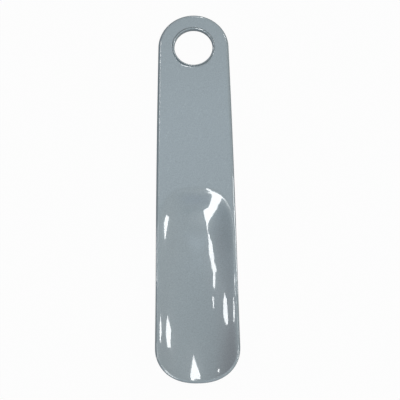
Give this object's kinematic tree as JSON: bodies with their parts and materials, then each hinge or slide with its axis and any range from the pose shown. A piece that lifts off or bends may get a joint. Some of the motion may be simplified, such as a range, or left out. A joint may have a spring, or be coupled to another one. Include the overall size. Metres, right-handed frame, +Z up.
{
  "type": "shoehorn",
  "caption": "Shoehorn moulded in one piece: a flat handle with a round end and a hanging hole runs into a curved heel scoop that is open at its rounded tip.",
  "frame": {"origin": "centre of the footprint, on the surface that the shoehorn lies on with its hollow up", "axes": "+Z up out of the hollow, +Y along the handle towards the hanging hole, +X across"},
  "size_m": [0.0408, 0.1958, 0.0233],
  "materials": {
    "blue_grey_plastic": "glossy, one colour all through"
  },
  "bodies": {
    "root": {"shoehorn_moulding": "blue_grey_plastic"}
  },
  "joints": []
}
